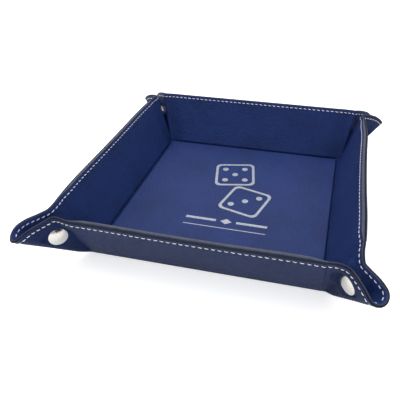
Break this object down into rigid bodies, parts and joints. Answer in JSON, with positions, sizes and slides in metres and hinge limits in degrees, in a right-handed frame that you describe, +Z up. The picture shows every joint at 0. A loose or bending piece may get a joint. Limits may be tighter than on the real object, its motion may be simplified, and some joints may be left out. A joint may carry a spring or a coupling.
{
  "type": "folding dice tray",
  "caption": "Square snap-up dice tray in stitched leatherette: a padded floor and board-stiffened walls whose pinched corners unsnap so it folds flat.",
  "frame": {"origin": "middle of the underside, on the surface that the tray stands on", "axes": "+Z up, -Y towards the front wall, +X towards the right wall"},
  "size_m": [0.2096, 0.2096, 0.0399],
  "materials": {
    "outer_leatherette": "matte grained navy leatherette, outer side",
    "inner_leatherette": "fine-grained deep navy leatherette, wall lining",
    "floor_leatherette": "fine-grained deep navy leatherette, floor lining",
    "board": "grey board stiffener, hidden inside",
    "thread": "pale twisted sewing thread",
    "snap_metal": "polished nickel plate"
  },
  "bodies": {
    "base": {"base_board": "board", "base_inner_skin": "floor_leatherette", "base_outer_skin": "outer_leatherette"},
    "front_wall": {"front_wall_board": "board", "front_wall_inner_skin": "inner_leatherette", "front_wall_outer_skin": "outer_leatherette", "front_wall_stitching": "thread"},
    "back_wall": {"back_wall_board": "board", "back_wall_inner_skin": "inner_leatherette", "back_wall_outer_skin": "outer_leatherette", "back_wall_stitching": "thread"},
    "left_wall": {"left_wall_board": "board", "left_wall_inner_skin": "inner_leatherette", "left_wall_outer_skin": "outer_leatherette", "left_wall_stitching": "thread"},
    "right_wall": {"right_wall_board": "board", "right_wall_inner_skin": "inner_leatherette", "right_wall_outer_skin": "outer_leatherette", "right_wall_stitching": "thread"},
    "front_wall_right_flap": {"front_right_snap_cap": "snap_metal", "front_right_snap_socket": "snap_metal", "front_wall_right_flap_inner_skin": "inner_leatherette", "front_wall_right_flap_outer_skin": "outer_leatherette", "front_wall_right_flap_stitching": "thread"},
    "front_wall_left_flap": {"front_left_snap_cap": "snap_metal", "front_left_snap_socket": "snap_metal", "front_wall_left_flap_inner_skin": "inner_leatherette", "front_wall_left_flap_outer_skin": "outer_leatherette", "front_wall_left_flap_stitching": "thread"},
    "back_wall_left_flap": {"back_left_snap_cap": "snap_metal", "back_left_snap_socket": "snap_metal", "back_wall_left_flap_inner_skin": "inner_leatherette", "back_wall_left_flap_outer_skin": "outer_leatherette", "back_wall_left_flap_stitching": "thread"},
    "back_wall_right_flap": {"back_right_snap_cap": "snap_metal", "back_right_snap_socket": "snap_metal", "back_wall_right_flap_inner_skin": "inner_leatherette", "back_wall_right_flap_outer_skin": "outer_leatherette", "back_wall_right_flap_stitching": "thread"},
    "left_wall_front_flap": {"front_left_snap_post": "snap_metal", "front_left_snap_stud": "snap_metal", "left_wall_front_flap_inner_skin": "inner_leatherette", "left_wall_front_flap_outer_skin": "outer_leatherette", "left_wall_front_flap_stitching": "thread"},
    "left_wall_back_flap": {"back_left_snap_post": "snap_metal", "back_left_snap_stud": "snap_metal", "left_wall_back_flap_inner_skin": "inner_leatherette", "left_wall_back_flap_outer_skin": "outer_leatherette", "left_wall_back_flap_stitching": "thread"},
    "right_wall_back_flap": {"back_right_snap_post": "snap_metal", "back_right_snap_stud": "snap_metal", "right_wall_back_flap_inner_skin": "inner_leatherette", "right_wall_back_flap_outer_skin": "outer_leatherette", "right_wall_back_flap_stitching": "thread"},
    "right_wall_front_flap": {"front_right_snap_post": "snap_metal", "front_right_snap_stud": "snap_metal", "right_wall_front_flap_inner_skin": "inner_leatherette", "right_wall_front_flap_outer_skin": "outer_leatherette", "right_wall_front_flap_stitching": "thread"}
  },
  "joints": [
    {"name": "front_wall_fold", "type": "hinge", "parent": "base", "child": "front_wall", "pos_m": [0, -0.073, 0.0009], "axis": [1, 0, 0], "range_deg": [0, 60]},
    {"name": "back_wall_fold", "type": "hinge", "parent": "base", "child": "back_wall", "pos_m": [0, 0.073, 0.0009], "axis": [-1, 0, 0], "range_deg": [0, 60]},
    {"name": "left_wall_fold", "type": "hinge", "parent": "base", "child": "left_wall", "pos_m": [-0.073, 0, 0.0009], "axis": [0, -1, 0], "range_deg": [0, 60]},
    {"name": "right_wall_fold", "type": "hinge", "parent": "base", "child": "right_wall", "pos_m": [0.073, 0, 0.0009], "axis": [0, 1, 0], "range_deg": [0, 60]},
    {"name": "front_wall_right_flap_fold", "type": "hinge", "parent": "front_wall", "child": "front_wall_right_flap", "pos_m": [0.06904, -0.073, 0.0009], "axis": [0.3768, -0.3768, 0.8462], "range_deg": [0, 47.9]},
    {"name": "front_wall_left_flap_fold", "type": "hinge", "parent": "front_wall", "child": "front_wall_left_flap", "pos_m": [-0.06904, -0.073, 0.0009], "axis": [0.3768, 0.3768, -0.8462], "range_deg": [0, 47.9]},
    {"name": "back_wall_left_flap_fold", "type": "hinge", "parent": "back_wall", "child": "back_wall_left_flap", "pos_m": [-0.06904, 0.073, 0.0009], "axis": [-0.3768, 0.3768, 0.8462], "range_deg": [0, 47.9]},
    {"name": "back_wall_right_flap_fold", "type": "hinge", "parent": "back_wall", "child": "back_wall_right_flap", "pos_m": [0.06904, 0.073, 0.0009], "axis": [-0.3768, -0.3768, -0.8462], "range_deg": [0, 47.9]},
    {"name": "left_wall_front_flap_fold", "type": "hinge", "parent": "left_wall", "child": "left_wall_front_flap", "pos_m": [-0.073, -0.06904, 0.0009], "axis": [-0.3768, -0.3768, 0.8462], "range_deg": [0, 47.9]},
    {"name": "left_wall_back_flap_fold", "type": "hinge", "parent": "left_wall", "child": "left_wall_back_flap", "pos_m": [-0.073, 0.06904, 0.0009], "axis": [0.3768, -0.3768, -0.8462], "range_deg": [0, 47.9]},
    {"name": "right_wall_back_flap_fold", "type": "hinge", "parent": "right_wall", "child": "right_wall_back_flap", "pos_m": [0.073, 0.06904, 0.0009], "axis": [0.3768, 0.3768, 0.8462], "range_deg": [0, 47.9]},
    {"name": "right_wall_front_flap_fold", "type": "hinge", "parent": "right_wall", "child": "right_wall_front_flap", "pos_m": [0.073, -0.06904, 0.0009], "axis": [-0.3768, 0.3768, -0.8462], "range_deg": [0, 47.9]}
  ],
  "couplings": [
    {"joint": "back_wall_fold", "follows": "front_wall_fold", "ratio": 1},
    {"joint": "left_wall_fold", "follows": "front_wall_fold", "ratio": 1},
    {"joint": "right_wall_fold", "follows": "front_wall_fold", "ratio": 1},
    {"joint": "front_wall_right_flap_fold", "follows": "front_wall_fold", "ratio": 0.76512},
    {"joint": "front_wall_left_flap_fold", "follows": "front_wall_fold", "ratio": 0.76512},
    {"joint": "back_wall_left_flap_fold", "follows": "front_wall_fold", "ratio": 0.76512},
    {"joint": "back_wall_right_flap_fold", "follows": "front_wall_fold", "ratio": 0.76512},
    {"joint": "left_wall_front_flap_fold", "follows": "front_wall_fold", "ratio": 0.76512},
    {"joint": "left_wall_back_flap_fold", "follows": "front_wall_fold", "ratio": 0.76512},
    {"joint": "right_wall_back_flap_fold", "follows": "front_wall_fold", "ratio": 0.76512},
    {"joint": "right_wall_front_flap_fold", "follows": "front_wall_fold", "ratio": 0.76512}
  ]
}
